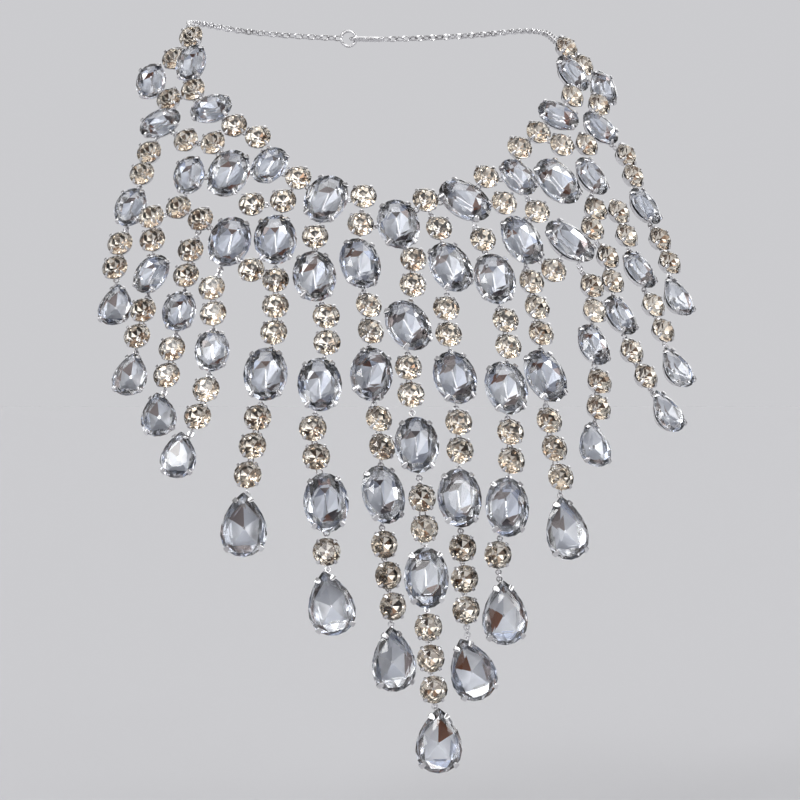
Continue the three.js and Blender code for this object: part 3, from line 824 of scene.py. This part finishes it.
centre = [Stone(*row) for row in COLLAR_CENTRE]
left = [Stone(*row) for row in COLLAR_LEFT]
right = [Stone(*row) for row in COLLAR_RIGHT]
collar = centre + left + right

dress("collar_centre", centre, [])
for node, stones in (("collar_left", left), ("collar_right", right)):
    to_centre = (centre[0].nearest(stones), centre[0])
    dress(node, stones, [*net_pairs(stones), to_centre])

tops = []
for k, strand in enumerate(STRANDS):
    stones = strand_stones(strand, OVER_NEIGHBOUR if k % 2 else 0)
    *body, drop = stones
    drop.tones = DROP_TONES[k]
    links = list(zip(body, body[1:]))
    dress(f"strand_{k + 1:02d}", body, [*links, (body[0], body[0].nearest(collar))])
    dress(f"drop_{k + 1:02d}", [drop], [(drop, body[-1])])
    tops.append(body[0])

for node, row in BRIDGES.items():
    stone = Stone(*row, lift=BRIDGE_LIFT)
    neighbours = sorted(tops, key=stone.gap_to)[:2]
    dress(node, [stone], [(stone, other) for other in neighbours])

# The clasp: an upright ring, and a hook that lies flat through it
ring_centre = NAPE - Vector((RING_RADIUS, 0, 0))
hook_aside = HOOK_RADIUS + HOOK_STRETCH - CLASP_OVERLAP - HOOK_WIRE / 2
hook_centre = NAPE + Vector((hook_aside, 0, 0))
X_AXIS, Y_AXIS, Z_AXIS = Vector((1, 0, 0)), Vector((0, 1, 0)), Vector((0, 0, 1))
ring = Shape()
add_loop(ring, ring_centre, X_AXIS, Y_AXIS, 2 * RING_RADIUS + RING_WIRE, 2 * RING_RADIUS + RING_WIRE,
         RING_WIRE, **RING_ROUND)
make_piece("clasp_ring_silver", ring, [SILVER], "clasp_ring", smooth=True)
hook = Shape()
add_loop(hook, hook_centre, X_AXIS, Z_AXIS, 2 * (HOOK_RADIUS + HOOK_STRETCH) + HOOK_WIRE,
         2 * HOOK_RADIUS + HOOK_WIRE, HOOK_WIRE, **HOOK_ROUND)
make_piece("clasp_hook_silver", hook, [SILVER], "clasp_hook", smooth=True)

# The chains: each starts at a cup of the collar and ends round the wire of the clasp
ends = {
    "chain_left": (left, ring_centre.x - RING_RADIUS + CHAIN_WIRE),
    "chain_right": (right, hook_centre.x + HOOK_RADIUS + HOOK_STRETCH - CHAIN_WIRE),
}
for node, (stones, end_x) in ends.items():
    first = max(stones, key=lambda stone: stone.centre.z)
    start = first.centre
    points = [start]
    for across, back, up in CHAIN_ROUTE:
        height = start.z + (NAPE.z - start.z) * back
        points.append(Vector((start.x * across, start.y + (NAPE.y - start.y) * back, height * up)))
    points.append(Vector((end_x, NAPE.y, NAPE.z)))
    path = smooth_curve(points, CHAIN_SAMPLES)
    wall = first.reach((path[1] - path[0]).normalized()) * CHAIN_WALL_SHARE - LINK_SINK
    while (path[1] - start).length < wall:
        path.pop(0)
    links = Shape()
    chain_of_links(links, path)
    make_piece(f"{node}_links", links, [SILVER], node, smooth=True)


# Stage

def add_floor():
    mesh = bpy.data.meshes.new("floor")
    half = FLOOR_HALF
    corners = [(-half, -half), (half, -half), (half, half), (-half, half)]
    mesh.from_pydata([(x, y, FLOOR_HEIGHT * MM) for x, y in corners], [], [(0, 1, 2, 3)])
    material, _, shader = new_material("floor")
    shader.inputs["Base Color"].default_value = (*FLOOR_COLOUR, 1)
    shader.inputs["Roughness"].default_value = 1.0
    shader.inputs["Specular IOR Level"].default_value = 0.0
    mesh.materials.append(material)
    floor = bpy.data.objects.new("floor", mesh)
    bpy.context.scene.collection.objects.link(floor)


def add_sun():
    data = bpy.data.lights.new("key", "SUN")
    data.energy = SUN_POWER
    data.angle = math.radians(SUN_ANGLE)
    sun = bpy.data.objects.new("key", data)
    sun.rotation_euler = (-Vector(SUN_WAY)).to_track_quat("-Z", "Y").to_euler()
    bpy.context.scene.collection.objects.link(sun)


def math_node(tree, operation, *values):
    node = tree.nodes.new("ShaderNodeMath")
    node.operation = operation
    for socket, value in zip(node.inputs, values):
        if isinstance(value, (int, float)):
            socket.default_value = value
        else:
            tree.links.new(value, socket)
    return node.outputs["Value"]


def add_world():
    """A pale backdrop for the camera, and for what the stones reflect a dim room with softboxes."""
    world = bpy.data.worlds.new("studio")
    bpy.context.scene.world = world
    world.use_nodes = True
    tree = world.node_tree
    background = tree.nodes["Background"]
    place = tree.nodes.new("ShaderNodeTexCoord").outputs["Generated"]
    split = tree.nodes.new("ShaderNodeSeparateXYZ")
    tree.links.new(place, split.inputs["Vector"])
    height = math_node(tree, "MULTIPLY_ADD", split.outputs["Z"], 0.5, 0.5)
    total = ramp(tree, height, ROOM)
    for way, half_angle, strength in SOFTBOXES:
        cosine = tree.nodes.new("ShaderNodeVectorMath")
        cosine.operation = "DOT_PRODUCT"
        cosine.inputs[1].default_value = Vector(way).normalized()
        tree.links.new(place, cosine.inputs[0])
        glow = tree.nodes.new("ShaderNodeMapRange")
        glow.interpolation_type = "SMOOTHSTEP"
        glow.inputs["From Min"].default_value = math.cos(math.radians(half_angle * SOFTBOX_FADE))
        glow.inputs["From Max"].default_value = math.cos(math.radians(half_angle))
        glow.inputs["To Max"].default_value = strength
        tree.links.new(cosine.outputs["Value"], glow.inputs["Value"])
        total = math_node(tree, "ADD", total, glow.outputs["Result"])
    mix = tree.nodes.new("ShaderNodeMix")
    mix.data_type = "RGBA"
    mix.inputs["B"].default_value = (*BACKDROP, 1)
    camera_ray = tree.nodes.new("ShaderNodeLightPath").outputs["Is Camera Ray"]
    tree.links.new(camera_ray, mix.inputs["Factor"])
    tree.links.new(total, mix.inputs["A"])
    tree.links.new(mix.outputs["Result"], background.inputs["Color"])


def add_camera():
    turn = math.radians(CAMERA_TURN)
    right_way = Vector((math.cos(turn), math.sin(turn), 0))
    view_way = Vector((-math.sin(turn), math.cos(turn), 0))
    data = bpy.data.cameras.new("camera")
    data.sensor_width = SENSOR
    data.lens = CAMERA_FOCUS * SENSOR / PHOTO_SIZE
    camera = bpy.data.objects.new("camera", data)
    place = right_way * CAMERA_ASIDE - view_way * CAMERA_AWAY + Vector((0, 0, CAMERA_HEIGHT))
    camera.location = place * MM
    camera.rotation_euler = (math.radians(90), 0, turn)
    bpy.context.scene.collection.objects.link(camera)
    bpy.context.scene.camera = camera


bpy.context.scene.view_settings.view_transform = "Standard"
add_camera()
add_floor()
add_world()
add_sun()
